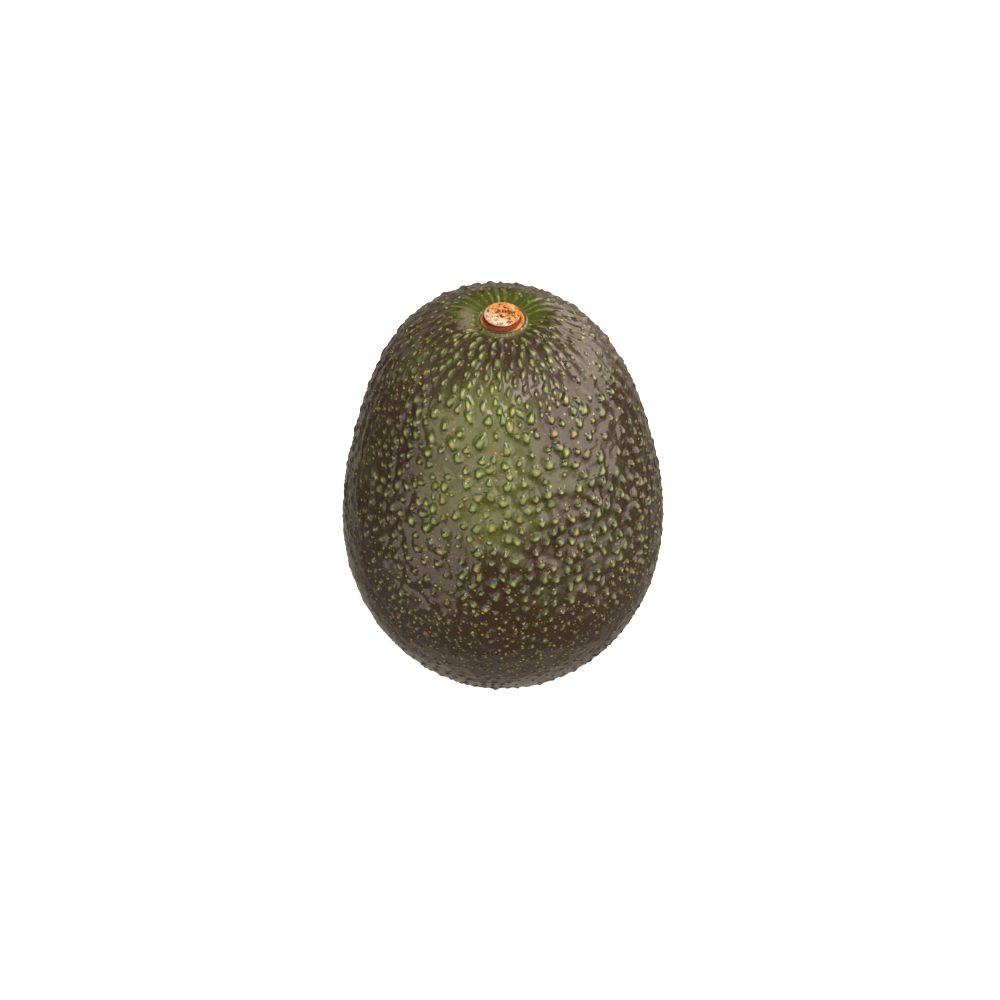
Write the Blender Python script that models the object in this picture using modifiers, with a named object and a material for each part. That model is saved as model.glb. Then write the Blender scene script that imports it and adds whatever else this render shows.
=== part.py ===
"""An avocado as picked, standing on the small flat spot at its blossom end.

It has two pieces: the fruit, which grew as one body, and the woody button of stem that stays in its
socket when the fruit is cut from the tree. The frame is in metres with +Z up. The origin is the middle of
the resting spot, and +Z runs up the fruit towards the stem.

Run it with: blender --background --python part.py
"""

import math

import bpy

# ---- Fruit -------------------------------------------------------------------------------------------
LENGTH = 0.0986  # end to end along the axis, before the resting spot flattens the blossom end
GIRTH = 0.0700  # greatest width
# How full the outline is, as powers of the share of the way from the middle to the blossom end.
FULLNESS = (0.171, 0.025, -0.200, 0.069)
SPOT_DIAMETER = 0.0160  # the flat spot that the fruit rests on

# The neck is a little oval and its tip bends aside, as on a fruit that hung from one side.
BEND_X = -0.0002  # at the stem
BEND_Y = -0.0009
BEND_POWER = 6  # how late the bend starts, as a power of the share of the way to the stem
NECK_OVAL = 0.030  # share of the radius
NECK_OVAL_AZIMUTH = math.radians(135.0)  # of the long way across the neck
NECK_OVAL_REACH = 0.0080  # how far out from the socket the oval takes to grow to its full share

# The skin dips round the stem.
DIMPLE_DEPTH = 0.0010
DIMPLE_WIDTH = 0.0240

# ---- Stem button -------------------------------------------------------------------------------------
FLANGE_DIAMETER = 0.0093  # the bark ring at its foot
FLANGE_THICKNESS = 0.0011
FLANGE_ROUND = 0.0003  # radius of the ring's edges
CAP_DIAMETER = 0.0077
CAP_HEIGHT = 0.0010
CAP_ROUND = 0.0004  # radius of the cap's edges
CAP_CROWN = 0.0004  # how far the broken top face rises to its middle
GROOVE_DEPTH = 0.0005  # the groove between the ring and the cap goes this far in under the cap
GROOVE_HEIGHT = 0.0005

# ---- Fit between the two -----------------------------------------------------------------------------
SEAT_GAP = 0.0003  # all round the button in its socket, and under it
FLANGE_PROUD = 0.0002  # how far the ring stands above the skin at the socket's mouth

# ---- Mesh fineness -----------------------------------------------------------------------------------
FRUIT_SEGMENTS = 56
FRUIT_RINGS = 38
STEM_SEGMENTS = 40
ROUND_STEPS = 3
CROWN_STEPS = 4
SEARCH_STEPS = 60
MERGE = 0.00001

COLLECTION_NAME = "avocado"
SOCKET_RADIUS = FLANGE_DIAMETER / 2 + SEAT_GAP


def smooth(share):
    """0 below 0, 1 above 1, and an even curve between them."""
    share = min(max(share, 0.0), 1.0)
    return share * share * (3.0 - 2.0 * share)


def outline(turn):
    """(radius, height) of the plain fruit, before its ends are finished, for a girth and a length of 1.

    turn goes from 0 at the blossom end to pi at the stem end, and the height is 0 at the blossom end.
    """
    along = math.cos(turn)
    full = 1.0 + sum(k * along ** (power + 1) for power, k in enumerate(FULLNESS))
    return math.sin(turn) * full, (1.0 - along) / 2.0


WIDEST_TURN = max((math.pi * i / 2000 for i in range(2001)), key=lambda turn: outline(turn)[0])


def fruit_outline(turn):
    """(radius, height) of the plain fruit in metres, with its widest place at GIRTH."""
    radius, height = outline(turn)
    return GIRTH / 2 * radius / outline(WIDEST_TURN)[0], LENGTH * height


def turn_at_radius(radius, low, high):
    """The turn between low and high where the fruit has this radius; it is found by halving."""
    rising = fruit_outline(high)[0] > fruit_outline(low)[0]
    for _ in range(SEARCH_STEPS):
        middle = (low + high) / 2
        if (fruit_outline(middle)[0] < radius) == rising:
            low = middle
        else:
            high = middle
    return (low + high) / 2


SPOT_TURN = turn_at_radius(SPOT_DIAMETER / 2, 0.0, WIDEST_TURN)
MOUTH_TURN = turn_at_radius(SOCKET_RADIUS, WIDEST_TURN, math.pi)
SPOT_HEIGHT = fruit_outline(SPOT_TURN)[1]
WIDEST_HEIGHT = fruit_outline(WIDEST_TURN)[1] - SPOT_HEIGHT


def skin_point(turn):
    """(radius, height) on the skin, above the resting spot, with the dip round the stem."""
    radius, height = fruit_outline(turn)
    if turn > WIDEST_TURN:
        height -= DIMPLE_DEPTH * (1.0 - smooth(radius / (DIMPLE_WIDTH / 2)))
    return radius, height - SPOT_HEIGHT


MOUTH_HEIGHT = skin_point(MOUTH_TURN)[1]
BUTTON_FOOT_HEIGHT = MOUTH_HEIGHT + FLANGE_PROUD - FLANGE_THICKNESS
SOCKET_FLOOR_HEIGHT = BUTTON_FOOT_HEIGHT - SEAT_GAP


def fruit_profile():
    """The fruit's half outline, from the middle of the socket's floor down to the resting spot."""
    turns = [MOUTH_TURN + (SPOT_TURN - MOUTH_TURN) * i / FRUIT_RINGS for i in range(FRUIT_RINGS + 1)]
    floor = [(0.0, SOCKET_FLOOR_HEIGHT), (SOCKET_RADIUS, SOCKET_FLOOR_HEIGHT)]
    return floor + [skin_point(turn) for turn in turns] + [(0.0, 0.0)]


def rounded_edge(radius, height, corner, start_degrees):
    """Points of a quarter round of this corner radius, about (radius - corner, height)."""
    centre = radius - corner
    angles = [math.radians(start_degrees - 90.0 * i / ROUND_STEPS) for i in range(ROUND_STEPS + 1)]
    return [(centre + corner * math.cos(a), height + corner * math.sin(a)) for a in angles]


def button_profile():
    """The stem button's half outline, from the middle of its broken top down to its foot."""
    flange_top = BUTTON_FOOT_HEIGHT + FLANGE_THICKNESS
    cap_foot = flange_top + GROOVE_HEIGHT
    cap_edge = cap_foot + CAP_HEIGHT
    face_radius = CAP_DIAMETER / 2 - CAP_ROUND
    groove_radius = CAP_DIAMETER / 2 - GROOVE_DEPTH
    crown = []
    for i in range(CROWN_STEPS):
        share = i / CROWN_STEPS
        crown.append((face_radius * share, cap_edge + CAP_CROWN * (1.0 - share * share)))
    cap = rounded_edge(CAP_DIAMETER / 2, cap_edge - CAP_ROUND, CAP_ROUND, 90.0)
    cap += rounded_edge(CAP_DIAMETER / 2, cap_foot + CAP_ROUND, CAP_ROUND, 0.0)
    groove = [(groove_radius, cap_foot), (groove_radius, flange_top)]
    flange = rounded_edge(FLANGE_DIAMETER / 2, flange_top - FLANGE_ROUND, FLANGE_ROUND, 90.0)
    flange += rounded_edge(FLANGE_DIAMETER / 2, BUTTON_FOOT_HEIGHT + FLANGE_ROUND, FLANGE_ROUND, 0.0)
    return crown + cap + groove + flange + [(0.0, BUTTON_FOOT_HEIGHT)]


def turned(name, profile, segments):
    """A solid turned from a half outline about Z, as a plain mesh object."""
    drawing = bpy.data.meshes.new(name)
    points = [(radius, 0.0, height) for radius, height in profile]
    drawing.from_pydata(points, [(i, i + 1) for i in range(len(points) - 1)], [])
    lathe = bpy.data.objects.new(name + "_outline", drawing)
    bpy.context.scene.collection.objects.link(lathe)
    screw = lathe.modifiers.new("Turn", "SCREW")
    screw.axis = "Z"
    screw.steps = segments
    screw.render_steps = segments
    screw.use_merge_vertices = True
    screw.merge_threshold = MERGE
    bpy.context.view_layer.update()
    mesh = bpy.data.meshes.new_from_object(lathe.evaluated_get(bpy.context.evaluated_depsgraph_get()))
    bpy.data.objects.remove(lathe)
    solid = bpy.data.objects.new(name, mesh)
    mesh.name = name
    mesh.shade_smooth()
    mesh.set_sharp_from_angle(angle=math.radians(40.0))
    return solid


def bend_at(height):
    """(x, y) of the fruit's middle line: upright to the widest place, then bending more towards the stem."""
    share = max(height - WIDEST_HEIGHT, 0.0) / (MOUTH_HEIGHT - WIDEST_HEIGHT)
    return BEND_X * share**BEND_POWER, BEND_Y * share**BEND_POWER


def grow_unevenly(mesh):
    """Moves the turned fruit's points to its own shape: an oval neck on a middle line that bends."""
    for vertex in mesh.vertices:
        x, y, height = vertex.co
        radius = math.hypot(x, y)
        neck = smooth((height - WIDEST_HEIGHT) / (MOUTH_HEIGHT - WIDEST_HEIGHT) * 1.4)
        clear = smooth((radius - SOCKET_RADIUS) / NECK_OVAL_REACH)
        way = math.cos(2.0 * (math.atan2(y, x) - NECK_OVAL_AZIMUTH))
        swell = 1.0 + NECK_OVAL * neck * clear * way
        in_socket = height > WIDEST_HEIGHT and radius < SOCKET_RADIUS + MERGE
        bend_x, bend_y = bend_at(MOUTH_HEIGHT if in_socket else height)
        vertex.co = (x * swell + bend_x, y * swell + bend_y, height)


def finish_material(name, colour, roughness):
    """A plain Principled finish; colour is linear red, green and blue."""
    material = bpy.data.materials.new(name)
    material.use_nodes = True
    shader = material.node_tree.nodes["Principled BSDF"]
    shader.inputs["Base Color"].default_value = (*colour, 1.0)
    shader.inputs["Roughness"].default_value = roughness
    shader.inputs["Metallic"].default_value = 0.0
    material.diffuse_color = (*colour, 1.0)
    return material


def make_fruit():
    """The fruit, with its resting spot below and its stem socket above."""
    fruit = turned("fruit", fruit_profile(), FRUIT_SEGMENTS)
    grow_unevenly(fruit.data)
    fruit.data.materials.append(finish_material("skin", (0.045, 0.050, 0.020), 0.35))
    return fruit


def make_stem_button():
    """The button of stem, standing in the socket with SEAT_GAP all round."""
    button = turned("stem_button", button_profile(), STEM_SEGMENTS)
    button.location = (BEND_X, BEND_Y, 0.0)
    button.data.materials.append(finish_material("stem_wood", (0.45, 0.24, 0.10), 0.80))
    return button


def main():
    """Builds the avocado in an empty scene."""
    for leftover in list(bpy.data.objects):
        bpy.data.objects.remove(leftover)
    pieces = bpy.data.collections.new(COLLECTION_NAME)
    bpy.context.scene.collection.children.link(pieces)
    for piece in (make_fruit(), make_stem_button()):
        pieces.objects.link(piece)


main()
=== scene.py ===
"""The looks of one avocado: its pebbled skin, the button of stem in its top, and the studio it stands in.

Lengths are in metres and angles in degrees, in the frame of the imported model: +Z runs up the fruit to
its stem and the camera looks from the -Y side.
"""

from __future__ import annotations

import logging
import math
from collections.abc import Callable
from dataclasses import dataclass, field
from enum import Enum

import bpy
import numpy as np
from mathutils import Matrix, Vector, noise
from mathutils.bvhtree import BVHTree
from mathutils.kdtree import KDTree


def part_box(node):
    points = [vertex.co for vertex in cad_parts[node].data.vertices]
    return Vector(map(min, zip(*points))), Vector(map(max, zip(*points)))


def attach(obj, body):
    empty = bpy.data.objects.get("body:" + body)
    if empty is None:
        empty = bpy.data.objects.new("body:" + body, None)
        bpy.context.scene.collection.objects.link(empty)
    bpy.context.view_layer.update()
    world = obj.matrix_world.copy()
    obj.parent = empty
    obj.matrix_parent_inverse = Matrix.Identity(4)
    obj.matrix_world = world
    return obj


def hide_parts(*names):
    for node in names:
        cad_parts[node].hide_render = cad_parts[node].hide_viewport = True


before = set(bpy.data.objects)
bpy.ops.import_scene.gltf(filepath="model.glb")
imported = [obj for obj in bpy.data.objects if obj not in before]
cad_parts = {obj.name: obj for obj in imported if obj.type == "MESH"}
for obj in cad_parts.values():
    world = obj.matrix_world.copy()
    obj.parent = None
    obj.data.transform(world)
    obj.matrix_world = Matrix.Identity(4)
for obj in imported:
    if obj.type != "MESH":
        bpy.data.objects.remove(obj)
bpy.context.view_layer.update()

LOG = logging.getLogger("avocado")
MM = 0.001
Colour = tuple[float, float, float]
Piece = bpy.types.Object
Rows = np.ndarray  # one number, or one row of x, y and z, for each point


# ---- Shader graphs -----------------------------------------------
class Term:
    """One value in a shader graph, which Python's own operators can work with."""

    def __init__(self, graph: Graph, socket: bpy.types.NodeSocket) -> None:
        """Keeps the graph and the output socket that holds the value."""
        self.graph = graph
        self.socket = socket

    def __add__(self, other: object) -> Term:
        """self + other"""
        return self.graph.maths("ADD", self, other)

    def __sub__(self, other: object) -> Term:
        """self - other"""
        return self.graph.maths("SUBTRACT", self, other)

    def __rsub__(self, other: object) -> Term:
        """other - self"""
        return self.graph.maths("SUBTRACT", other, self)

    def __mul__(self, other: object) -> Term:
        """self * other"""
        return self.graph.maths("MULTIPLY", self, other)

    __radd__ = __add__
    __rmul__ = __mul__



class Graph:
    """The node graph of one material or of the world."""

    def __init__(self, owner: bpy.types.Material | bpy.types.World) -> None:
        """Starts the graph with its owner's own shader and with a place to read patterns at."""
        owner.use_nodes = True
        self.owner = owner
        self.tree = owner.node_tree
        on_world = isinstance(owner, bpy.types.World)
        self.shader = self.tree.nodes["Background" if on_world else "Principled BSDF"]
        self.place = self.node("TexCoord", output="Generated" if on_world else "Object")

    def node(
        self,
        kind: str,
        sockets: dict[object, object] | None = None,
        settings: dict[str, object] | None = None,
        output: int | str = 0,
    ) -> Term:
        """Adds a node, sets it up, and then fills or links its sockets.

        Args:
            kind: the node's type, after ShaderNode.
            sockets: input sockets by name or number, each a Term to link or a plain value.
            settings: its own settings.
            output: which output to give back.

        Returns:
            The chosen output.
        """
        made = self.tree.nodes.new("ShaderNode" + kind)
        for key, value in (settings or {}).items():
            setattr(made, key, value)
        for key, value in (sockets or {}).items():
            self.feed(made.inputs[key], value)
        return Term(self, made.outputs[output])

    def feed(self, socket: bpy.types.NodeSocket, value: object) -> None:
        """Links a Term to an input socket, or sets a plain value on it."""
        if isinstance(value, Term):
            self.tree.links.new(value.socket, socket)
        elif isinstance(value, tuple) and len(value) == 3 and socket.type == "RGBA":
            socket.default_value = (*value, 1.0)
        else:
            socket.default_value = value

    def finish(self, **values: object) -> None:
        """Sets or links the shader's own sockets, named with _ for a space."""
        for name, value in values.items():
            self.feed(self.shader.inputs[name.replace("_", " ")], value)

    def maths(self, operation: str, first: object, second: object = 0.0) -> Term:
        """One Math node on two values, each a Term or a number."""
        return self.node("Math", {0: first, 1: second}, {"operation": operation})

    def attribute(self, name: str) -> Term:
        """The value that each point of the mesh carries under this name."""
        return self.node("Attribute", None, {"attribute_name": name}, output="Fac")

    def blend(self, share: object, low: object, high: object) -> Term:
        """A colour between two colours, each a Term or plain: share 0 gives low and 1 gives high."""
        return self.node("Mix", {0: share, 6: low, 7: high}, {"data_type": "RGBA"}, output=2)

    def step(
        self, value: Term, low: float, high: float, to_low: float = 0.0, to_high: float = 1.0
    ) -> Term:
        """A smooth step of a value, from to_low up to low, to to_high from high on."""
        sockets = {0: value, 1: low, 2: high, 3: to_low, 4: to_high}
        return self.node("MapRange", sockets, {"interpolation_type": "SMOOTHSTEP"})

    def moved(self, shift: float) -> Term:
        """Where a pattern is read, moved the same way along each axis, so that two of one size differ."""
        return self.node("Mapping", {0: self.place, 1: (shift, shift, shift)})

    def clouds(self, size: float, detail: float = 2.0, shift: float = 0.0) -> Term:
        """Soft noise from 0 to 1, in clouds this many metres wide, with detail finer layers."""
        sockets = {"Vector": self.moved(shift), "Scale": 1.0 / size, "Detail": detail}
        return self.node("TexNoise", sockets)

    def cells(self, size: float, output: str = "Distance", shift: float = 0.0) -> Term:
        """Cells this many metres wide: the Distance from a cell's middle, in cells, or its Color."""
        sockets = {"Vector": self.moved(shift), "Scale": 1.0 / size}
        return self.node("TexVoronoi", sockets, output=output)

    def part_of(self, colour: Term, channel: str) -> Term:
        """One channel of a colour, as a number."""
        return self.node("SeparateColor", {0: colour}, output=channel)

    def relief(self, height: Term, depth: float) -> Term:
        """A surface direction for a Normal, bumped by a height that is a share of depth in metres."""
        return self.node("Bump", {"Strength": 1.0, "Distance": depth, "Height": height})


# ---- Modelling ---------------------------------------------------
class Pick(Enum):
    """What an edit-mode selection is made of."""

    POINTS = "VERT"
    FACES = "FACE"


def deselect_all() -> None:
    """Leaves nothing selected in object mode."""
    if bpy.context.mode != "OBJECT":
        bpy.ops.object.mode_set(mode="OBJECT")
    bpy.ops.object.select_all(action="DESELECT")


def only(piece: Piece) -> None:
    """Selects one object and makes it active."""
    deselect_all()
    piece.select_set(True)
    bpy.context.view_layer.objects.active = piece


def select_where(piece: Piece, pick: Pick, wanted: Callable[[Vector], bool]) -> None:
    """Goes to edit mode with only the wanted points or faces selected.

    Args:
        piece: a mesh object.
        pick: whether points or faces are chosen.
        wanted: says whether the one at this place is chosen.
    """
    only(piece)
    bpy.ops.object.mode_set(mode="EDIT")
    bpy.ops.mesh.select_mode(type=pick.value)
    bpy.ops.mesh.select_all(action="DESELECT")
    bpy.ops.object.mode_set(mode="OBJECT")
    on_points = pick is Pick.POINTS
    for item in piece.data.vertices if on_points else piece.data.polygons:
        item.select = wanted(item.co if on_points else item.center)
    bpy.ops.object.mode_set(mode="EDIT")


def apply_modifier(piece: Piece, name: str, kind: str, **settings: object) -> None:
    """Adds a modifier, sets it up and applies it.

    Args:
        piece: the object.
        name: the modifier's name.
        kind: its type.
        **settings: its settings.
    """
    only(piece)
    modifier = piece.modifiers.new(name, kind)
    for key, value in settings.items():
        setattr(modifier, key, value)
    bpy.ops.object.modifier_apply(modifier=name)


def points_of(piece: Piece) -> Rows:
    """Every point of a mesh."""
    flat = np.empty(len(piece.data.vertices) * 3)
    piece.data.vertices.foreach_get("co", flat)
    return flat.reshape(-1, 3)


def move_points(piece: Piece, points: Rows) -> None:
    """Puts every point of a mesh in a new place, given as rows of x, y and z."""
    piece.data.vertices.foreach_set("co", points.ravel())
    piece.data.update()


def add_sphere(name: str, segments: int, rings: int, radius: float = 1.0) -> Piece:
    """Adds a plain sphere round the origin, with nothing else selected.

    Args:
        name: the piece's name.
        segments: how many sides it has.
        rings: how many rows of faces it has.
        radius: its radius.

    Returns:
        The piece.
    """
    deselect_all()
    bpy.ops.mesh.primitive_uv_sphere_add(
        segments=segments, ring_count=rings, radius=radius, location=(0.0, 0.0, 0.0)
    )
    piece = bpy.context.active_object
    piece.name = name
    settle_order(piece)
    return piece


def settle_order(piece: Piece) -> None:
    """Numbers a new mesh's points and faces by their place, because an operator's own order varies by run."""
    mesh = piece.data
    points = points_of(piece)
    order = np.lexsort(points.T)
    number = np.argsort(order).tolist()
    faces = []
    for face in mesh.polygons:
        corners = [number[point] for point in face.vertices]
        first = corners.index(min(corners))
        faces.append(corners[first:] + corners[:first])
    mesh.clear_geometry()
    mesh.from_pydata(points[order].tolist(), [], sorted(faces))
    mesh.update()


def note_on_points(piece: Piece, name: str, values: Rows) -> None:
    """Keeps one number for each point of a mesh, for its material to read."""
    layer = piece.data.attributes.new(name, "FLOAT", "POINT")
    layer.data.foreach_set("value", values.astype(np.float32))


def sink_points(piece: Piece, depths: Rows) -> None:
    """Moves each point inwards along the surface direction, by a Displace modifier that reads its share.

    Args:
        piece: a mesh object.
        depths: how far each point goes in, in metres.
    """
    deepest = float(depths.max())
    shares = piece.vertex_groups.new(name="depth")
    for index, share in enumerate(depths / deepest):
        shares.add([index], float(share), "REPLACE")
    apply_modifier(
        piece, "Sink", "DISPLACE", vertex_group="depth", mid_level=0.0, strength=-deepest, direction="NORMAL"
    )
    piece.vertex_groups.remove(piece.vertex_groups["depth"])


def smooth_step(value: Rows, low: float, high: float) -> Rows:
    """0 up to low, 1 from high on, and an even curve between them."""
    share = np.clip((value - low) / (high - low), 0.0, 1.0)
    return share * share * (3.0 - 2.0 * share)


def clouds_at(points: Rows, size: float, shift: float = 0.0) -> Rows:
    """Smooth noise from about -1 to 1 at each point, in clouds of this size, moved by shift."""
    offset = Vector((shift, shift * 0.7, -shift))
    return np.array([noise.noise(Vector(point) / size + offset) for point in points])


def hand_over(piece: Piece, node: str) -> None:
    """Smooths a finished piece's shading, hides the node it stands for, and hangs the piece under the root
    body.
    """
    only(piece)
    bpy.ops.object.shade_smooth()
    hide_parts(node)
    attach(piece, "root")


# ---- The fruit ---------------------------------------------------
@dataclass(frozen=True)
class SkinFinish:
    """Waxy dark skin, greener round the stem and over the front, with pale pores on its pebbles, painted
    shade round each pebble's foot, and paler pebble tops that are partly painted highlight.
    """

    umber: Colour = (0.0235, 0.0108, 0.0037)
    olive: Colour = (0.027, 0.0205, 0.0045)
    plum: Colour = (0.034, 0.020, 0.013)
    leaf: Colour = (0.080, 0.094, 0.020)
    # crown: the pebbles' paler tops, partly their own colour and partly painted highlight.
    crown: Colour = (0.190, 0.200, 0.060)
    lime: Colour = (0.085, 0.125, 0.012)
    moss: Colour = (0.052, 0.078, 0.006)
    ridge: Colour = (0.105, 0.115, 0.024)
    furrow: Colour = (0.036, 0.046, 0.004)
    bald: Colour = (0.125, 0.112, 0.068)
    pore: Colour = (0.29, 0.29, 0.055)
    rust: Colour = (0.38, 0.14, 0.04)
    scar: Colour = (0.08, 0.055, 0.03)
    # shade and deep: painted shade, the dark grey-brown and dark green ring round each pebble's foot.
    shade: Colour = (0.014, 0.014, 0.0035)
    deep: Colour = (0.022, 0.036, 0.0045)
    pore_cell: float = 0.0014
    speck_cell: float = 0.0008
    leather_size: float = 0.0013
    leather_depth: float = 0.00015
    fine_size: float = 0.0006
    roughness: float = 0.33
    wax: float = 0.8
    wax_roughness: float = 0.12
    wax_ior: float = 1.5

    def dress(self, pieces: list[Piece]) -> None:
        """Gives the fruit's pieces their skin."""
        graph = Graph(bpy.data.materials.new("avocado_skin"))
        names = ("pebble", "bead", "lot", "stem_ring", "ridge", "bald", "green", "dull", "calm", "blossom")
        pebble, bead, lot, stem_ring, ridge, bald, green, dull, calm, blossom = map(graph.attribute, names)

        blend, step = graph.blend, graph.step
        mottle = graph.clouds(0.009, 3.0, 0.3)
        drift = graph.clouds(0.022, 2.0, 1.7)
        ground = blend(step(mottle, 0.38, 0.62) * (1.0 - calm * 0.5), self.umber, self.olive)
        ground = blend(step(drift, 0.50, 0.68) * 0.6, ground, self.plum)
        patch = step(green + (mottle - 0.5) * 0.9, 0.10, 0.95)
        ground = blend(patch * 0.75, ground, self.leaf)
        swell = blend(patch, self.moss, self.lime)
        ground = blend(step(pebble, 0.25, 0.9) * (0.25 + patch * 0.25), ground, swell)
        # Painted shade: a dark ring round each pebble's foot, where its steep sides lose the light.
        flank_shade = step(bead, 0.02, 0.30)
        ground = blend(flank_shade * (0.75 - calm * 0.6), ground, blend(patch, self.shade, self.deep))
        ground = blend(step(bead, 0.36, 0.80) * (0.85 - calm * 0.70), ground, swell)
        # Paler pebble tops: partly the pebbles' own colour, partly painted highlight.
        ground = blend(step(bead, 0.60, 1.0) * (0.5 - calm * 0.45), ground, self.crown)
        streak = step(graph.clouds(0.0016, 3.0, 4.0), 0.30, 0.62)
        collar = blend(step(ridge, 0.15, 0.85) * (streak * 0.7 + 0.2), self.furrow, self.ridge)
        ground = blend(stem_ring, ground, collar)
        ground = blend(bald, ground, self.bald)

        grain = graph.cells(self.pore_cell, "Color", 0.2)
        red, warm, size = (graph.part_of(grain, channel) for channel in ("Red", "Green", "Blue"))
        size = 0.11 + size * 0.12 + calm * 0.05
        pores = step(size - graph.cells(self.pore_cell, "Distance", 0.2), 0.0, 0.05)
        chosen = step(red + calm * 0.32, 0.40, 0.46) * (1.0 - flank_shade * 0.8)
        pore_colour = blend(step(warm, 0.80, 0.84), self.pore, self.rust)
        specks = step(calm * 0.07 + 0.20 - graph.cells(self.speck_cell, "Distance", 0.6), 0.0, 0.08)
        speck_lot = graph.part_of(graph.cells(self.speck_cell, "Color", 0.6), "Red")
        ground = blend(specks * step(speck_lot, 0.48, 0.54) * 0.5, ground, self.pore)
        ground = blend(pores * chosen * 0.8, ground, pore_colour)
        crest = step(bead, 0.86, 0.97) * step(lot, 0.15, 0.75, 0.0, 0.8)
        crest_colour = blend(step(warm, 0.70, 0.80), self.pore, self.rust)
        ground = blend(crest, ground, crest_colour)
        ground = blend(blossom, ground, self.scar)

        sockets = {"Vector": graph.place, "Scale": 1.0 / self.leather_size, "Smoothness": 0.6}
        leather = graph.node("TexVoronoi", sockets, {"feature": "SMOOTH_F1"})
        fine_height = (1.0 - leather) * 0.6 + graph.clouds(self.fine_size) * 0.25
        graph.finish(
            Base_Color=ground,
            Roughness=(mottle - 0.5) * 0.2 + self.roughness + blossom * 0.35 + dull * 0.22,
            IOR=self.wax_ior,
            Coat_Weight=self.wax - dull * 0.35,
            Coat_Roughness=self.wax_roughness,
            Normal=graph.relief(fine_height, self.leather_depth),
        )
        for piece in pieces:
            piece.data.materials.append(graph.owner)


@dataclass
class Pebbles:
    """Pebbles that stand on the skin: one small dome, copied, with each copy set on the skin in its place."""

    seeds: Rows
    width: Rows
    length: Rows
    height: Rows
    turn: Rows
    normals: Rows | None = None
    lot: Rows | None = None
    notes: dict[str, Rows] = field(default_factory=dict)
    segments: int = 10
    shares: tuple[float, ...] = (0.0, 0.26, 0.50, 0.70, 0.86, 1.0, 1.18, 0.0)
    rises: tuple[float, ...] = (1.0, 0.95, 0.77, 0.48, 0.19, 0.03, -0.10, -0.30)

    def swell(self, tree: KDTree, points: Rows) -> Rows:
        """How the skin swells round the pebbles, where overlapping ones run together.

        Args:
            tree: the skin's points, for finding neighbours.
            points: the same points.

        Returns:
            A height from 0 to 1 for each point.
        """
        low = np.ones(len(points))
        rows = zip(self.seeds, self.width, self.length, self.height, self.turn)
        for seed, half_width, half_length, tall, angle in rows:
            middle = points[seed]
            reach = 1.45 * max(half_width, half_length)
            near = np.array([found[1] for found in tree.find_range(middle, reach)])
            away = points[near] - middle
            round_way = np.array([-middle[1], middle[0], 0.0])
            round_way /= np.linalg.norm(round_way) + 1e-9
            across = away @ round_way
            along = np.sqrt(np.maximum((away**2).sum(axis=1) - across**2, 0.0)) * np.sign(away[:, 2])
            side = across * math.cos(angle) + along * math.sin(angle)
            up = along * math.cos(angle) - across * math.sin(angle)
            stretch = np.where(up > 0, 1.3, 0.85) * half_length
            out = np.hypot(side / half_width, up / stretch)
            low[near] *= 1.0 - tall * smooth_step(1.0 - out, 0.0, 0.6)
        return 1.0 - low

    def build(self, name: str, skin: Rows, tree: BVHTree, chosen: Rows) -> Piece:
        """Copies one plain dome for some of the pebbles, and sets each copy on the skin in its place.

        Args:
            name: the piece's name.
            skin: the finished skin's points.
            tree: the same skin, for finding what lies under a pebble.
            chosen: which pebbles this piece holds.

        Returns:
            The piece.
        """
        piece = add_sphere(name, self.segments, len(self.shares) - 1)
        each = len(piece.data.vertices)
        apply_modifier(
            piece, "Copies", "ARRAY", count=len(chosen), use_relative_offset=False,
            use_constant_offset=True, constant_offset_displace=(0.0, 0.0, 0.0),
        )
        plain = points_of(piece)[:each]
        ring = np.arccos(np.clip(plain[:, 2], -1.0, 1.0)) / math.pi * (len(self.shares) - 1)
        ring = np.rint(ring).astype(int)
        round_way = np.arctan2(plain[:, 1], plain[:, 0])
        share, rise = np.array(self.shares)[ring], np.array(self.rises)[ring]
        places = []
        for pebble in chosen:
            middle, normal = skin[self.seeds[pebble]], self.normals[pebble]
            side = np.cross((0.0, 0.0, 1.0), normal)
            side /= np.linalg.norm(side) + 1e-9
            up = np.cross(normal, side)
            phase = self.lot[pebble] * 40.0
            lobes = 1.0 + 0.13 * np.sin(2 * round_way + phase) + 0.12 * np.sin(3 * round_way - 2 * phase)
            uneven = share * lobes
            across = uneven * np.cos(round_way) * self.width[pebble]
            along = uneven * np.sin(round_way) * self.length[pebble]
            along *= np.where(along > 0, 1.25, 0.85)
            lean, stand = math.sin(self.turn[pebble]), math.cos(self.turn[pebble])
            spots = middle + np.outer(across * stand - along * lean, side)
            spots = spots + np.outer(across * lean + along * stand, up)
            for spot, lift in zip(spots, rise * self.height[pebble]):
                below = tree.ray_cast(Vector(spot + normal * 2 * MM), Vector(-normal), 6 * MM)[0]
                places.append(np.array(below if below else spot) + normal * lift)
        move_points(piece, np.array(places))
        note_on_points(piece, "bead", np.tile(np.maximum(rise, 0.0), len(chosen)))
        note_on_points(piece, "lot", np.repeat(self.lot[chosen], each))
        for note, values in self.notes.items():
            note_on_points(piece, note, np.repeat(values[self.seeds[chosen]], each))
        return piece


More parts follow.
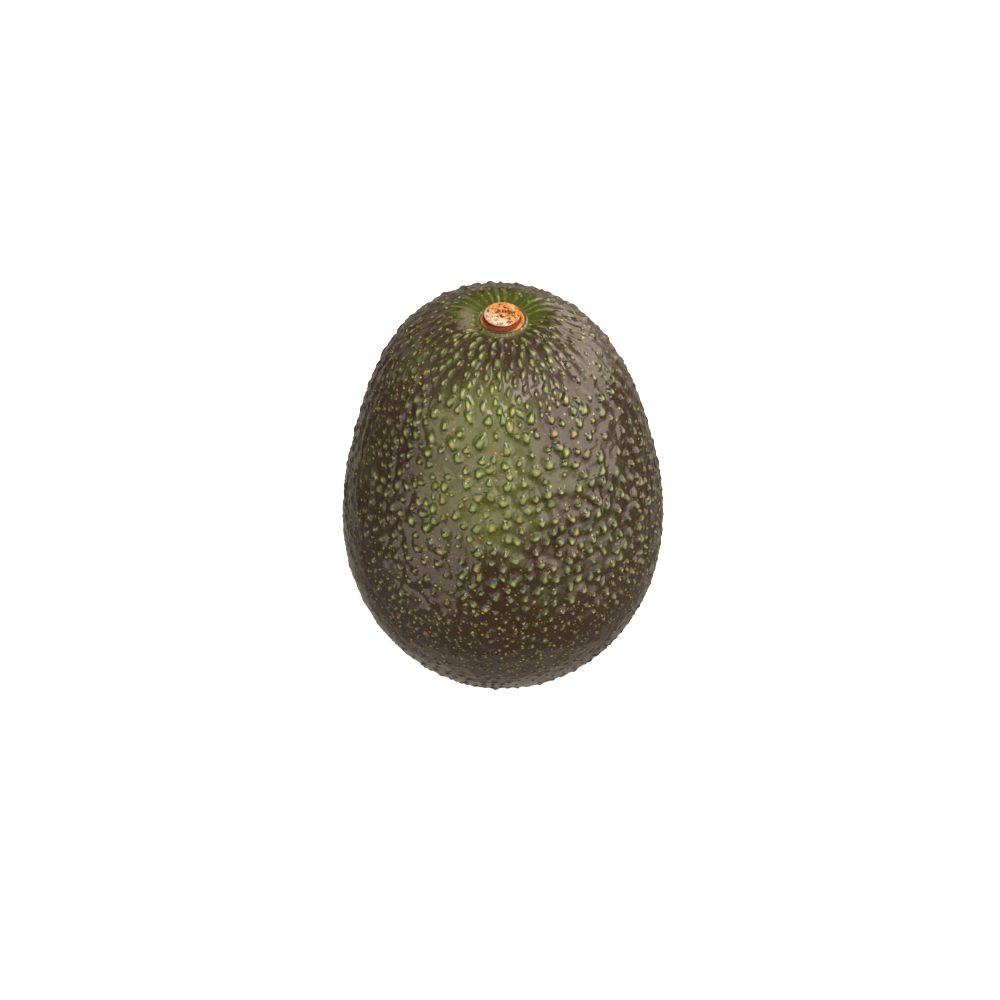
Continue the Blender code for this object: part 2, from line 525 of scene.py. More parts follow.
class Zones:
    """Where each point of the skin lies, and its share, from 0 to 1, of each kind of skin."""

    def __init__(self, fruit: Fruit, points: Rows) -> None:
        """Works out the zones.

        Args:
            fruit: the fruit whose skin it is.
            points: the skin's points.
        """
        self.points = points
        self.down, self.azimuth, self.radius = fruit.skin_places(points)
        self.round_angle = np.radians(self.azimuth)
        self.in_socket = (self.radius < fruit.mouth_radius * 1.02) & (self.down < 12 * MM)
        self.broad = clouds_at(points, 0.016, 3.1)
        self.medium = clouds_at(points, 0.007, 8.3)
        self.front = smooth_step(84.0 - np.abs(self.azimuth - 8.0), 0.0, 42.0)
        self.back = smooth_step(np.abs(self.azimuth), 50.0, 115.0)
        self.upper = self.past(6.5 + 2.5 * self.back, 11 + 6 * self.back)
        self.belly = self.past(56, 76)
        self.lower = smooth_step(self.down + 14 * MM * self.broad, 56 * MM, 86 * MM)
        self.open_field = np.clip(self.front * 0.8 + self.broad * 0.8, 0.0, 1.0) * self.past(16, 30)
        shoulder = smooth_step(self.azimuth, 34.0, 58.0) * (1.0 - smooth_step(self.azimuth, 112.0, 140.0))
        self.sparse = shoulder * self.past(10, 16) * (1.0 - self.past(34, 46))
        self.ridged = self.past(4.5, 7.0) * (1.0 - self.past(9 + 4 * self.back, 16 + 6 * self.back))

    def past(self, start: float | Rows, end: float | Rows) -> Rows:
        """0 up to this many millimetres down the skin from the stem, and 1 from end on."""
        return smooth_step(self.down, start * MM, end * MM)


@dataclass
class Fruit:
    """The whole fruit: a dense skin over the frame's outline, sunk between its ridges and pebbles.

    Sizes are in metres, but the gaps between pebbles and grains are in millimetres.
    """

    girth: float
    top: float
    mouth_radius: float
    stem_foot: float
    stem_x: float
    stem_y: float
    length: float = 0.0986
    fullness: tuple[float, ...] = (0.171, 0.025, -0.200, 0.069)
    spot_radius: float = 0.0080
    dimple_depth: float = 0.0010
    dimple_radius: float = 0.0120
    neck_oval: float = 0.030
    oval_azimuth: float = 135.0
    bend_power: int = 6
    cage_segments: int = 52
    cage_rings: int = 30
    levels: int = 3
    cage_proud: float = 0.00005
    neck_proud: float = 0.00075
    bead_height: float = 0.00050
    pebble_height: float = 0.00052
    ridge_height: float = 0.00024
    flute_height: float = 0.00022
    plateau_height: float = 0.00050
    swell_height: float = 0.00016
    crumple_height: float = 0.00030
    moat_depth: float = 0.00040
    ridges: int = 29
    flutes: int = 38
    neck_gap: float = 1.75
    open_gap: float = 0.85
    belly_gap: float = 0.25
    sparse_gap: float = 0.9
    grain_gap: float = 1.25
    zones: tuple[str, ...] = ("neck", "belly", "foot")
    seed: int = 11
    pebbles: Pebbles | None = None
    finish: SkinFinish = field(default_factory=SkinFinish)

    def outline(self, turn: Rows) -> tuple[Rows, Rows]:
        """The plain half outline.

        Args:
            turn: 0 at the blossom end to pi at the stem end.

        Returns:
            The radius and the height above the blossom end, before the end is flattened.
        """
        def full(angle: Rows) -> Rows:
            along = np.cos(angle)
            swell = 1.0 + sum(k * along ** (power + 1) for power, k in enumerate(self.fullness))
            return np.sin(angle) * swell

        widest = full(np.linspace(0.0, math.pi, 2001)).max()
        return self.girth / 2 * full(turn) / widest, self.length * (1.0 - np.cos(turn)) / 2.0

    def rings(self) -> list[tuple[float, float]]:
        """The cage's rings as (radius, height), from the resting spot up to the socket's floor."""
        turns = np.linspace(0.0, math.pi, 4001)
        radius, height = self.outline(turns)
        widest = int(radius.argmax())
        spot = int(np.argmax(radius >= self.spot_radius))
        mouth = widest + int(np.argmax(radius[widest:] <= self.mouth_radius))
        height = height - height[spot]
        dip = self.dimple_depth * (1.0 - smooth_step(radius, 0.0, self.dimple_radius))
        height = np.where(np.arange(len(turns)) > widest, height - dip, height)
        length = np.concatenate([[0.0], np.cumsum(np.hypot(np.diff(radius), np.diff(height)))])
        ends = 2
        sides = self.cage_rings - 1 - ends - 3
        share = np.linspace(0.0, 1.0, sides)
        share = share + 0.16 * np.sin(math.pi * share)
        wanted = length[spot] + (length[mouth] - length[spot]) * share
        out, climb = np.gradient(radius), np.gradient(height)
        neck = smooth_step(length, length[mouth] - 52 * MM, length[mouth] - 30 * MM)
        neck *= 1.0 - smooth_step(length, length[mouth] - 5 * MM, length[mouth])
        proud = (self.cage_proud + self.neck_proud * neck) * (length > length[spot]) / np.hypot(out, climb)
        radius, height = radius + proud * climb, height - proud * out
        body = [(float(np.interp(w, length, radius)), float(np.interp(w, length, height))) for w in wanted]
        foot = [(self.spot_radius * 0.35, 0.0), (self.spot_radius * 0.75, 0.0)]
        lip_radius, lip_height = body[-1]
        floor = self.stem_foot - 0.2 * MM
        wall = [
            (lip_radius - 0.25 * MM, lip_height - 0.12 * MM),
            (lip_radius - 0.30 * MM, (lip_height + floor) / 2),
            (lip_radius - 0.60 * MM, floor),
        ]
        return foot + body + wall

    def build_cage(self) -> Piece:
        """Shapes a sphere's rings to the fruit's outline.

        Returns:
            The coarse cage of the fruit.
        """
        piece = add_sphere("fruit_skin", self.cage_segments, self.cage_rings)
        rings = self.rings()
        lift = 4.0
        for index, (radius, height) in enumerate(rings, start=1):
            angle = math.pi * index / self.cage_rings
            level = -math.cos(angle)
            select_where(piece, Pick.POINTS, lambda co: abs(co.z - level) < 1e-4)
            bpy.ops.transform.resize(value=(radius / math.sin(angle), radius / math.sin(angle), 1.0))
            bpy.ops.transform.translate(value=(0.0, 0.0, height + lift - level))
        for pole, height in ((-1.0, 0.0), (1.0, rings[-1][1])):
            select_where(piece, Pick.POINTS, lambda co: abs(co.z - pole) < 1e-4)
            bpy.ops.transform.translate(value=(0.0, 0.0, height + lift - pole))
        select_where(piece, Pick.POINTS, lambda co: True)
        bpy.ops.transform.translate(value=(0.0, 0.0, -lift))
        deselect_all()
        return piece

    def bend_neck(self, piece: Piece) -> None:
        """Makes the neck a little oval and bends its tip over to the stem's place."""
        points = points_of(piece)
        radius = np.hypot(points[:, 0], points[:, 1])
        rings = self.rings()
        widest = max(rings)[1]
        mouth = rings[-4][1]
        share = np.clip((points[:, 2] - widest) / (mouth - widest), 0.0, 1.0)
        azimuth = np.arctan2(points[:, 1], points[:, 0])
        way = np.cos(2.0 * (azimuth - math.radians(self.oval_azimuth)))
        clear = smooth_step(radius, self.mouth_radius, self.mouth_radius + 8 * MM)
        swell = 1.0 + self.neck_oval * smooth_step(share * 1.4, 0.0, 1.0) * clear * way
        late = np.where(radius < self.mouth_radius + 0.1 * MM, share > 0, share**self.bend_power)
        points[:, 0] = points[:, 0] * swell + self.stem_x * late
        points[:, 1] = points[:, 1] * swell + self.stem_y * late
        move_points(piece, points)

    def skin_places(self, points: Rows) -> tuple[Rows, Rows, Rows]:
        """Where each point lies on the skin.

        Args:
            points: rows of x, y and z.

        Returns:
            The way down the skin from the stem's axis, the azimuth from the front towards +X in degrees,
            and the distance from the fruit's middle line.
        """
        rings = np.array(self.rings()[:-3] + [(0.0, self.top)])
        middle = float(rings[int(rings[:, 0].argmax()), 1])
        angles = np.arctan2(rings[:, 0], rings[:, 1] - middle)
        steps = np.hypot(np.diff(rings[:, 0]), np.diff(rings[:, 1]))
        down = np.concatenate([np.cumsum(steps[::-1])[::-1], [0.0]])
        share = np.clip((points[:, 2] - middle) / (self.top - middle), 0.0, 1.0) ** self.bend_power
        x = points[:, 0] - self.stem_x * share
        y = points[:, 1] - self.stem_y * share
        radius = np.hypot(x, y)
        angle = np.arctan2(radius, points[:, 2] - middle)
        order = np.argsort(angles)
        return np.interp(angle, angles[order], down[order]), np.degrees(np.arctan2(x, -y)), radius

    def scatter(
        self, tree: KDTree, points: Rows, spacing: Rows, rng: np.random.Generator, taken: list[int]
    ) -> list[int]:
        """Picks points of the skin that keep their own spacing from each other, in a random order.

        Args:
            tree: the skin's points, for finding neighbours.
            points: the same points.
            spacing: the least distance that each point keeps, or 0 where none may be picked.
            rng: the random source.
            taken: points picked before, which are kept clear of.

        Returns:
            The picked points' numbers.
        """
        free = spacing > 0
        picked: list[int] = []
        for index in taken + rng.permutation(np.flatnonzero(free)).tolist():
            if index in taken or free[index]:
                picked.append(index)
                free[[near[1] for near in tree.find_range(points[index], spacing[index])]] = False
        return picked[len(taken):]

    def lay_pebbles(self, zones: Zones, tree: KDTree, normals: Rows) -> tuple[Rows, Rows]:
        """Scatters the pebbles and the grains between them, and keeps the pebbles to be built.

        Args:
            zones: the zones of the skin.
            tree: the skin's points, for finding neighbours.
            normals: the skin's direction at each point.

        Returns:
            How high the pebbles' broad feet and the grains swell the skin, from 0 to 1 for each point.
        """
        points, down = zones.points, zones.down
        rng = np.random.default_rng(self.seed)
        gap = self.neck_gap + self.open_gap * zones.open_field * (1.0 - zones.belly)
        gap = gap + self.belly_gap * zones.belly + self.sparse_gap * zones.sparse
        gap = gap * rng.uniform(0.8, 1.3, len(points)) * MM
        bare = zones.in_socket | (down < (6.7 + 3.9 * zones.back) * MM) | (zones.past(118, 126) > 0.9)
        gap = np.where(bare, 0.0, gap)
        seeds = self.scatter(tree, points, gap, rng, [])
        count = len(seeds)
        LOG.info("%d pebbles", count)
        open_here, sparse, lower = zones.open_field[seeds], zones.sparse[seeds], zones.lower[seeds]
        neck = 1.0 - zones.past(14, 36)[seeds]
        size = (0.62 + 0.40 * open_here) * rng.uniform(0.65, 1.35, count) * (1.0 - 0.48 * lower) * MM
        width = size * (0.90 + 0.10 * (1.0 - neck))
        longer = 1.0 + (0.5 - 0.25 * open_here) * rng.random(count) * (1.0 - sparse)
        length = size * (longer + 0.7 * neck * (1.0 - 0.7 * sparse))
        turn = rng.normal(0.0, 1.0, count) * (0.12 + 0.9 * zones.belly[seeds] + 0.3 * (1.0 - neck))
        height = rng.uniform(0.45, 1.0, count) * (1.0 + 0.2 * neck)
        feet = Pebbles(seeds, width * 1.6, length * 1.5, height, turn).swell(tree, points)
        rise = (0.34 + 0.66 * zones.front[seeds]) * (1.0 - 0.55 * lower) * height * self.bead_height
        rise *= np.clip(size / (0.75 * MM), 0.6, 1.25)

        grain_gap = np.where((gap > 0) & (down < 112 * MM), self.grain_gap * MM, 0.0)
        grains = [grain for grain in self.scatter(tree, points, grain_gap, rng, seeds) if rng.random() < 0.6]
        count = len(grains)
        LOG.info("%d grains", count)
        size = rng.uniform(0.38, 0.62, count) * MM
        grain = Pebbles(
            grains, size, size * rng.uniform(1.0, 1.8, count),
            rng.uniform(0.25, 0.7, count) * (1.0 - 0.35 * zones.lower[grains]), rng.normal(0.0, 0.6, count),
        )
        lot = rng.random(len(seeds))
        self.pebbles = Pebbles(np.array(seeds), width, length, rise, turn, normals[seeds], lot)
        return feet, grain.swell(tree, points)

    def hollows(self, zones: Zones, swell: Rows, ridge: Rows, bald: Rows) -> Rows:
        """How deep the skin is sunk between all that stands up from it.

        Args:
            zones: the zones of the skin.
            swell: how high the pebbles' feet and the grains swell the skin, from 0 to 1.
            ridge: the height of the ridges round the stem, from 0 to 1.
            bald: how smooth the skin is rubbed beside the stem, from 0 to 1.

        Returns:
            The depth in metres at each point.
        """
        past, lower, points = zones.past, zones.lower, zones.points
        flutes = self.flutes * zones.round_angle + 5.0 * zones.broad + 2.0 * zones.medium
        flute_zone = past(10, 16) * (1.0 - past(34, 62))
        flute_zone = flute_zone * (0.25 + 0.75 * smooth_step(np.abs(zones.azimuth), 25.0, 70.0))
        wavy = clouds_at(points, 0.0050, 2.6) + 0.55 * clouds_at(points, 0.0022, 4.4)
        plateau = smooth_step(wavy + 0.35 * zones.broad, -0.06, 0.12)
        plateau_zone = past(26, 44) * (1.0 - 0.8 * lower) * (0.45 + 0.55 * zones.belly)
        plateau_zone = plateau_zone * (0.4 + 0.6 * zones.front)
        strong = (0.45 + 0.55 * zones.open_field) * (1.0 - 0.15 * zones.belly) * (1.0 - 0.55 * lower)
        depth = self.pebble_height * (1.0 - swell) * zones.upper * strong
        depth += self.ridge_height * (1.0 - ridge) * zones.ridged * (1.0 - 0.8 * bald)
        depth += self.flute_height * (1.0 - (0.5 + 0.5 * np.cos(flutes))) * flute_zone
        depth += self.plateau_height * (1.0 - plateau) * plateau_zone
        depth += self.swell_height * (0.5 - 0.5 * zones.broad)
        depth += self.crumple_height * (0.5 - 0.5 * clouds_at(points, 0.0030, 6.2)) * zones.upper
        depth += self.moat_depth * (1.0 - past(5.2, 8.5))
        on_spot = 1.0 - smooth_step(zones.radius, self.spot_radius * 1.02, self.spot_radius * 1.5)
        at_foot = (zones.down > 60 * MM) * on_spot
        return np.where(zones.in_socket, 0.0, np.maximum(depth, 0.0) * (1.0 - at_foot))

    def shape_skin(self, piece: Piece) -> None:
        """Works out the skin's relief, keeps what the finish needs on its points, and sinks the hollows."""
        points = points_of(piece)
        zones = Zones(self, points)
        tree = KDTree(len(points))
        for index, point in enumerate(points):
            tree.insert(point, index)
        tree.balance()
        normals = np.array([point.normal[:] for point in piece.data.vertices])
        pebble, grain = self.lay_pebbles(zones, tree, normals)
        down, azimuth, angle, medium = zones.down, zones.azimuth, zones.round_angle, zones.medium
        uneven = 1.3 * np.sin(3.0 * angle + 0.4) + 0.9 * np.sin(7.0 * angle + 2.0)
        wobble = 0.35 * medium + 0.6 * zones.broad
        wave = 0.5 + 0.5 * np.cos(self.ridges * angle + uneven + 3.0 * wobble)
        ridge = wave**1.5 * (0.62 + 0.38 * np.sin(11.0 * angle + 1.0) * np.cos(5.0 * angle))
        bald = np.exp(-(((azimuth + 88.0) / 34.0) ** 2) - ((down - 7.4 * MM) / (2.1 * MM)) ** 2)
        depth = self.hollows(zones, np.maximum(pebble, 0.6 * grain), ridge, bald)

        ring_reach = (5.3 + 4.7 * zones.back + 1.8 * medium + 1.6 * ridge) * MM
        rim = 0.3 * (1.0 - smooth_step(down + 0.8 * MM * medium, 5.1 * MM, 5.9 * MM))
        sheltered = smooth_step(66.0 - np.abs(azimuth + 18.0), 0.0, 40.0)
        dusty = 1.0 - smooth_step(down + 5 * MM * medium, 12 * MM, 30 * MM)
        scar = 1.0 - smooth_step(zones.radius + 0.5 * MM * medium, 1.4 * MM, 2.2 * MM)
        notes = {
            "ridge": np.where(zones.ridged > 0, ridge, 0.0),
            "stem_ring": 1.0 - smooth_step(down, ring_reach - 1.5 * MM, ring_reach + 1.5 * MM),
            "bald": np.maximum(0.75 * smooth_step(bald + 0.4 * medium, 0.25, 0.85), rim),
            "green": self.green_share(zones),
            "dull": dusty * (0.15 + 0.85 * sheltered),
            "calm": 1.0 - (1.0 - zones.lower) * (0.3 + 0.7 * zones.front),
            "blossom": np.where(down > 100 * MM, scar, 0.0),
        }
        note_on_points(piece, "pebble", np.maximum(pebble, grain * 0.7) * zones.upper)
        for note, values in notes.items():
            note_on_points(piece, note, values)
        self.pebbles.notes = notes
        sink_points(piece, depth)

    def green_share(self, zones: Zones) -> Rows:
        """How green the skin is, from 0 to 1: most of all on the front of the neck and belly."""
        front = np.exp(-(((zones.azimuth + 10.0) / 27.0) ** 2))
        along = zones.past(9, 27) * (1.0 - zones.past(44, 66))
        return np.clip(front * along + np.maximum(zones.broad, 0.0) * 0.35 * along, 0.0, 1.0)

    def build(self) -> list[Piece]:
        """Builds and dresses the fruit.

        Returns:
            The finished pieces: the skin, and the pebbles of the neck, the belly and the foot.
        """
        skin = self.build_cage()
        self.bend_neck(skin)
        apply_modifier(
            skin, "Smooth", "SUBSURF", levels=self.levels, render_levels=self.levels,
            subdivision_type="CATMULL_CLARK",
        )
        self.shape_skin(skin)
        points = points_of(skin)
        tree = BVHTree.FromPolygons(points.tolist(), [face.vertices[:] for face in skin.data.polygons])
        order = np.argsort(-points[self.pebbles.seeds, 2])
        shares = np.array_split(order, len(self.zones))
        domes = [
            self.pebbles.build(f"{zone}_pebbles", points, tree, share)
            for zone, share in zip(self.zones, shares)
        ]
        pieces = [skin, *domes]
        for piece in pieces:
            hand_over(piece, "fruit")
        self.fill_frame(pieces)
        self.finish.dress(pieces)
        return pieces

    def fill_frame(self, pieces: list[Piece]) -> None:
        """Widens the pieces a little, so that the outermost pebbles just reach the frame's own girth."""
        reach = np.max([np.abs(points_of(piece)[:, :2]).max(axis=0) for piece in pieces], axis=0)
        for piece in pieces:
            points = points_of(piece)
            points[:, :2] *= (self.girth / 2 - 0.02 * MM) / reach
            move_points(piece, points)


# ---- The stem button ---------------------------------------------
@dataclass(frozen=True)
class BarkFinish:
    """Dry stem wood: an orange, cracked face, bleached at one edge, over a groove darkened with painted shade
    and a bark ring.
    """

    cork: Colour = (0.44, 0.165, 0.034)
    straw: Colour = (0.52, 0.30, 0.125)
    bleached: Colour = (0.45, 0.40, 0.33)
    bark: Colour = (0.048, 0.017, 0.009)
    amber: Colour = (0.42, 0.170, 0.042)
    # The dark colour of the real cracks and pits, and of the painted shade in the groove under the cap.
    crack: Colour = (0.130, 0.030, 0.009)
    fleck_size: float = 0.0011
    crumb_size: float = 0.0007
    fibre_size: float = 0.0005
    fibre_depth: float = 0.00025

    def dress(self, piece: Piece) -> None:
        """Gives the button its bark and broken wood."""
        graph = Graph(bpy.data.materials.new("stem_bark"))
        crack, ring, pale, amber = map(graph.attribute, ("crack", "bark_ring", "bleached", "amber"))
        blend, step = graph.blend, graph.step
        fleck = graph.clouds(self.fleck_size, 4.0, 0.4)
        wood = blend(step(fleck, 0.46, 0.70), self.cork, self.straw)
        crumbs = step(graph.clouds(self.crumb_size, 3.0, 2.0), 0.34, 0.56)
        wood = blend(pale * crumbs * 0.9, wood, self.bleached)
        bark = blend(amber, self.bark, self.amber)
        wood = blend(ring, wood, blend(step(fleck, 0.48, 0.72) * 0.7, bark, self.crack))
        # Cracks, pits and the painted shade in the groove all take the dark colour.
        wood = blend(step(crack, 0.35, 0.95), wood, self.crack)
        height = graph.clouds(self.fibre_size, 4.0) * 0.7 - crack * 0.5
        graph.finish(
            Base_Color=wood, Roughness=0.72 - ring * 0.30, Normal=graph.relief(height, self.fibre_depth))
        piece.data.materials.append(graph.owner)


@dataclass
class StemButton:
    """The button of stem: a bark ring in the socket, a groove, and a corky cap with a broken face."""

    x: float
    y: float
    foot: float
    top: float
    flange_radius: float
    flange_thickness: float = 0.0011
    groove_height: float = 0.0005
    groove_depth: float = 0.0005
    cap_radius: float = 0.00385
    cap_round: float = 0.0004
    crown: float = 0.0004
    segments: int = 48
    levels: int = 3
    finish: BarkFinish = field(default_factory=BarkFinish)

    def rings(self) -> list[tuple[float, float]]:
        """The button's outline as (radius, height), from its foot to the middle of its broken face."""
        flange_top = self.foot + self.flange_thickness
        cap_foot = flange_top + self.groove_height
        cap_edge = self.top - self.crown
        groove = self.cap_radius - self.groove_depth
        face = self.cap_radius - self.cap_round
        flange = [
            (self.flange_radius - 0.15 * MM, self.foot),
            (self.flange_radius, self.foot + 0.15 * MM),
            (self.flange_radius, flange_top - 0.25 * MM),
            (self.flange_radius - 0.25 * MM, flange_top),
        ]
        waist = [
            (groove + 0.15 * MM, flange_top - 0.05 * MM),
            (groove, flange_top + 0.1 * MM),
            (groove, cap_foot),
        ]
        cap = [
            (self.cap_radius - 0.12 * MM, cap_foot + 0.06 * MM),
            (self.cap_radius, cap_foot + 0.35 * MM),
            (self.cap_radius, cap_edge - self.cap_round * 0.8),
            (face, cap_edge),
        ]
        crown = [(face * share, cap_edge + self.crown * (1.0 - share**2)) for share in (0.8, 0.6, 0.4, 0.2)]
        return flange + waist + cap + crown

    def build_blank(self) -> Piece:
        """Draws a disc up through the outline's rings.

        Returns:
            The coarse button.
        """
        rings = self.rings()
        deselect_all()
        bpy.ops.mesh.primitive_circle_add(
            vertices=self.segments, radius=rings[0][0], fill_type="NGON", location=(0.0, 0.0, rings[0][1])
        )
        piece = bpy.context.active_object
        piece.name = "stem_button_bark"
        bpy.ops.object.transform_apply(location=True, rotation=False, scale=False)
        bpy.ops.object.mode_set(mode="EDIT")
        bpy.ops.mesh.select_all(action="SELECT")
        for (radius, height), (next_radius, next_height) in zip(rings, rings[1:]):
            step = (0.0, 0.0, next_height - height)
            bpy.ops.mesh.extrude_region_move(TRANSFORM_OT_translate={"value": step})
            share = next_radius / radius
            bpy.ops.transform.resize(value=(share, share, 1.0), center_override=(0.0, 0.0, next_height))
        bpy.ops.mesh.poke()
        bpy.ops.mesh.select_all(action="SELECT")
        bpy.ops.mesh.normals_make_consistent(inside=False)
        bpy.ops.transform.translate(value=(self.x, self.y, 0.0))
        deselect_all()
        settle_order(piece)
        return piece

    def shape_wood(self, piece: Piece) -> None:
        """Works out the cracks, the broken face and the painted shade in the groove under the cap, notes them
        for the finish, and sinks them.
        """
        points = points_of(piece)
        x, y = points[:, 0] - self.x, points[:, 1] - self.y
        radius = np.hypot(x, y)
        cap_foot = self.foot + self.flange_thickness + self.groove_height
        cap_edge = self.top - self.crown
        on_cap = points[:, 2] > cap_foot - 0.1 * MM
        on_face = smooth_step(points[:, 2], cap_edge - 0.5 * MM, cap_edge - 0.1 * MM)
        rough = clouds_at(points, 0.0016, 1.0)
        fine = clouds_at(points, 0.0008, 5.0)
        finer = clouds_at(points, 0.00032, 9.0)
        rings = np.cos(radius / (0.85 * MM) * 2.0 * math.pi + 4.0 * rough + 1.0)
        crack = smooth_step(rings + 0.9 * fine, 0.55, 1.25) * on_face
        middle = np.exp(-(((x - 0.9 * MM) ** 2 + (y - 0.2 * MM) ** 2) / (1.8 * MM) ** 2))
        pit = smooth_step(fine + 0.5 * rough + 0.8 * finer + 0.75 * middle, 0.30, 0.60) * on_face
        groove_top = self.foot + self.flange_thickness
        amber = smooth_step(x, 1.0 * MM, 3.6 * MM) + 0.5 * smooth_step(-x, 2.4 * MM, 4.2 * MM)
        # Painted shade: the flange's top face in the groove under the cap is darkened, except at its outer
        # edge and less where the amber shows.
        shade = smooth_step(points[:, 2], groove_top - 0.3 * MM, groove_top) * (
            1.0 - smooth_step(points[:, 2], cap_foot - 0.05 * MM, cap_foot + 0.25 * MM))
        shade *= 1.0 - smooth_step(
            radius + 0.35 * MM * amber, self.cap_radius + 0.25 * MM, self.cap_radius + 0.55 * MM)
        # The painted groove shade joins the cracks and pits.
        crack = np.maximum(np.maximum(crack * 0.8, pit), shade)
        depth = 0.22 * MM * crack * on_face + 0.12 * MM * (0.5 + 0.5 * rough) + 0.08 * MM * (0.5 + 0.5 * fine)
        depth += 0.05 * MM * (0.5 + 0.5 * finer)
        depth *= np.where(on_cap, 1.0, 0.45)
        note_on_points(piece, "crack", crack)
        note_on_points(piece, "bark_ring", (points[:, 2] < groove_top + 0.2 * MM).astype(float))
        corner = (-x * 0.6 - y * 0.8) / self.cap_radius
        note_on_points(piece, "amber", amber)
        note_on_points(piece, "bleached", smooth_step(corner + 0.35 * fine, 0.02, 0.50) * on_cap)
        sink_points(piece, np.maximum(depth, 0.0))

    def build(self) -> Piece:
        """Builds and dresses the button.

        Returns:
            The finished piece.
        """
        piece = self.build_blank()
        apply_modifier(piece, "Smooth", "SUBSURF", levels=self.levels, render_levels=self.levels)
        self.shape_wood(piece)
        self.finish.dress(piece)
        hand_over(piece, "stem_button")
        return piece


# ---- The studio --------------------------------------------------
@dataclass(frozen=True)
class Window:
    """A soft-edged window of light, from one azimuth and elevation to another."""

    left: float
    right: float
    low: float
    high: float
    strength: float
    edge: float = 5.0

    def glow(self, graph: Graph, turn: Term, rise: Term) -> Term:
        """The window's light.

        Args:
            graph: the world's graph.
            turn: the azimuth that is looked at, from the front towards +X, in degrees.
            rise: the elevation that is looked at, in degrees.

        Returns:
            Its strength there.
        """
        across, up = (
            graph.step(way, start, start + self.edge) * graph.step(way, end - self.edge, end, 1.0, 0.0)
            for way, start, end in ((turn, self.left, self.right), (rise, self.low, self.high))
        )
        return across * up * self.strength


def sight_from(azimuth: float, elevation: float) -> Vector:
    """The way from the fruit to something that is this far round from the front and this far up."""
    across, up = math.radians(azimuth), math.radians(elevation)
    return Vector((math.sin(across) * math.cos(up), -math.cos(across) * math.cos(up), math.sin(up)))


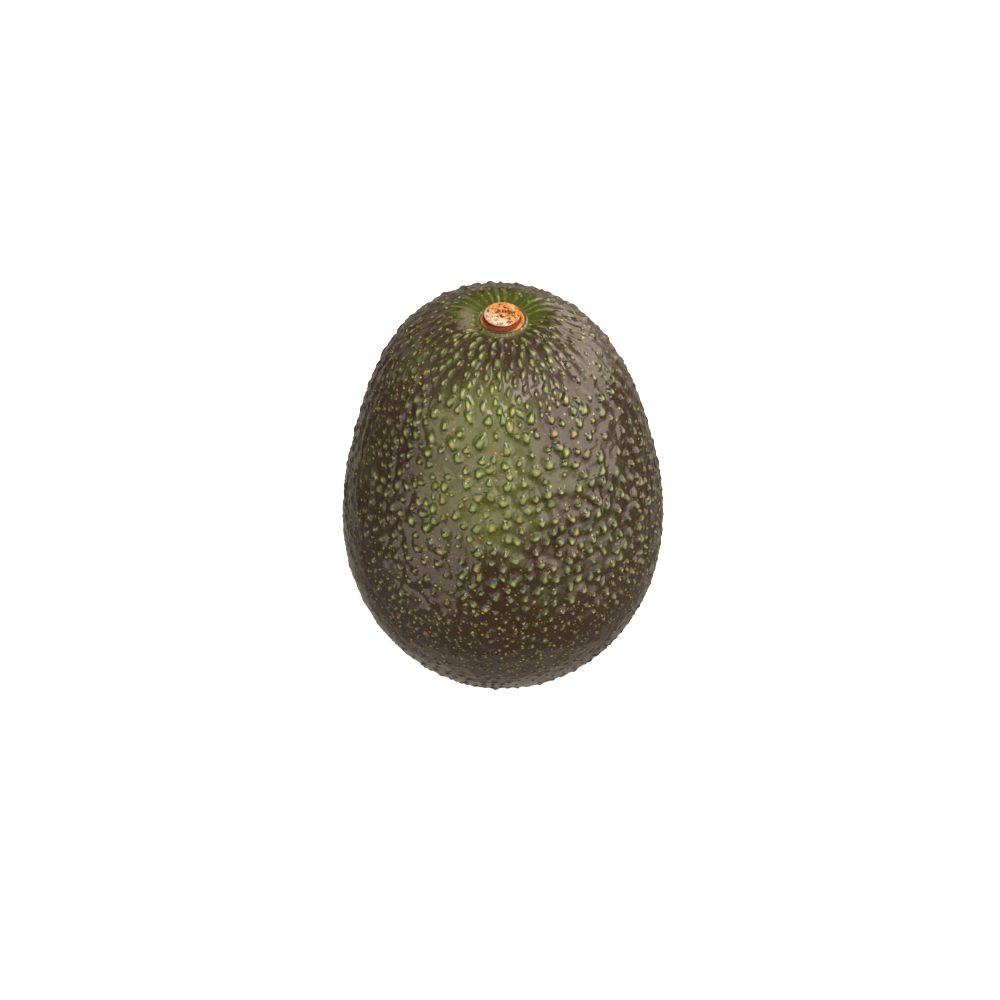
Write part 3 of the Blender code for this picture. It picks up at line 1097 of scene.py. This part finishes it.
@dataclass
class Studio:
    """The pale floor and backdrop, the soft light and the camera."""

    aim: Vector
    elevation: float = 43.0
    distance: float = 0.5995
    lens: float = 100.0
    frame_right: float = -0.00065
    frame_up: float = -0.0023
    floor_half: float = 3.0
    world: float = 0.10
    world_behind: float = 0.34
    world_colour: Colour = (1.0, 0.872, 0.745)
    windows: tuple[Window, ...] = (
        Window(-74.0, 9.0, -4.0, 32.0, 1.5),
        Window(-78.0, -24.0, -36.0, -4.0, 1.2),
        Window(15.0, 100.0, -13.0, 38.0, 2.4),
        Window(24.0, 86.0, -32.0, -9.0, 0.8),
        Window(96.0, 152.0, 2.0, 46.0, 2.7),
        Window(122.0, 156.0, -10.0, 4.0, 1.3),
        Window(-160.0, -104.0, -8.0, 34.0, 0.4),
        Window(-22.0, 50.0, 47.0, 75.0, 8.5),
        Window(-130.0, 130.0, -84.0, -28.0, 0.08),
        Window(-185.0, 185.0, -100.0, -62.0, 0.16),
    )
    lamp_azimuth: float = 20.0
    lamp_elevation: float = 72.0
    lamp_distance: float = 0.9
    lamp_size: tuple[float, float] = (0.4, 0.3)
    lamp_watts: float = 9.0

    def lay_floor(self) -> None:
        """Lays a plain pale floor under the fruit."""
        deselect_all()
        bpy.ops.mesh.primitive_plane_add(size=2 * self.floor_half, location=(0.0, 0.0, -0.0001))
        floor = bpy.context.active_object
        floor.name = "floor"
        self.finish_stage(floor, 0.6, 0.5, 0.95)

    @staticmethod
    def finish_stage(piece: Piece, grey: float, shine: float, glow: float) -> None:
        """Makes the floor or the backdrop plain, glowing and unseen by the object's own light.

        Args:
            piece: the floor or the backdrop.
            grey: how light its own grey is.
            shine: how strongly it mirrors light.
            glow: how strongly it shines white.
        """
        graph = Graph(bpy.data.materials.new(f"pale_{piece.name}"))
        graph.finish(
            Base_Color=(grey, grey, grey), Roughness=0.9, Specular_IOR_Level=shine,
            Emission_Color=(1.0, 1.0, 1.0), Emission_Strength=glow,
        )
        piece.data.materials.append(graph.owner)
        piece.visible_diffuse = piece.visible_glossy = False

    def hang_backdrop(self) -> None:
        """Closes the room behind the floor with a plain pale round, which only the camera sees."""
        backdrop = add_sphere("backdrop", 64, 32, self.floor_half * 0.98)
        select_where(backdrop, Pick.FACES, lambda centre: centre.z < -0.5 * self.floor_half)
        bpy.ops.mesh.delete(type="FACE")
        bpy.ops.mesh.select_all(action="SELECT")
        bpy.ops.mesh.flip_normals()
        deselect_all()
        backdrop.visible_transmission = backdrop.visible_shadow = False
        self.finish_stage(backdrop, 0.0, 0.0, 1.0)

    def light(self) -> None:
        """Sets the light of the room and its soft windows."""
        graph = Graph(bpy.data.worlds.new("studio"))
        x, y, z = (graph.node("SeparateXYZ", {0: graph.place}, output=axis) for axis in "XYZ")
        turn = graph.maths("ARCTAN2", x, 0.0 - y) * math.degrees(1.0)
        rise = graph.maths("ARCSINE", z) * math.degrees(1.0)
        strength = graph.step(y * 0.82 - z * 0.57, 0.62, 0.97, self.world, self.world_behind)
        for window in self.windows:
            strength = strength + window.glow(graph, turn, rise)
        graph.finish(Strength=strength, Color=self.world_colour)
        bpy.context.scene.world = graph.owner

    def hang_lamp(self) -> None:
        """Hangs a large soft lamp over the fruit, facing it."""
        away = sight_from(self.lamp_azimuth, self.lamp_elevation)
        data = bpy.data.lights.new("top_softbox", "AREA")
        data.shape = "RECTANGLE"
        data.size, data.size_y = self.lamp_size
        data.energy = self.lamp_watts
        lamp = bpy.data.objects.new("top_softbox", data)
        lamp.location = self.aim + away * self.lamp_distance
        lamp.rotation_euler = away.to_track_quat("Z", "Y").to_euler()
        lamp.visible_glossy = False
        bpy.context.scene.collection.objects.link(lamp)

    def set_camera(self) -> None:
        """Sets the camera in front of the fruit, looking down at it."""
        away = sight_from(0.0, self.elevation)
        turn = away.to_track_quat("Z", "Y")
        right = turn @ Vector((1.0, 0.0, 0.0))
        up = turn @ Vector((0.0, 1.0, 0.0))
        data = bpy.data.cameras.new("camera")
        data.lens = self.lens
        data.sensor_width = 36.0
        camera = bpy.data.objects.new("camera", data)
        camera.location = self.aim + right * self.frame_right + up * self.frame_up + away * self.distance
        camera.rotation_euler = turn.to_euler()
        bpy.context.scene.collection.objects.link(camera)
        bpy.context.scene.camera = camera
        bpy.context.scene.view_settings.view_transform = "Standard"

    def build(self) -> None:
        """Sets up the whole studio."""
        self.lay_floor()
        self.hang_backdrop()
        self.light()
        self.hang_lamp()
        self.set_camera()


def main() -> None:
    """Builds the avocado and its studio."""
    logging.basicConfig(level=logging.INFO, format="%(name)s: %(message)s")
    fruit_low, fruit_high = (Vector(corner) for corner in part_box("fruit"))
    stem_low, stem_high = (Vector(corner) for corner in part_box("stem_button"))
    stem = (stem_low + stem_high) / 2
    flange_radius = (stem_high.x - stem_low.x) / 2
    fruit = Fruit(
        girth=fruit_high.x - fruit_low.x,
        top=fruit_high.z,
        mouth_radius=flange_radius + 0.2 * MM,
        stem_foot=stem_low.z,
        stem_x=stem.x,
        stem_y=stem.y,
    )
    button = StemButton(x=stem.x, y=stem.y, foot=stem_low.z, top=stem_high.z, flange_radius=flange_radius)
    for piece in [*fruit.build(), button.build()]:
        LOG.info("%s: %d points, %d faces", piece.name, len(piece.data.vertices), len(piece.data.polygons))
    Studio(aim=Vector((0.0, 0.0, fruit_high.z / 2))).build()


if __name__ == "__main__":
    main()
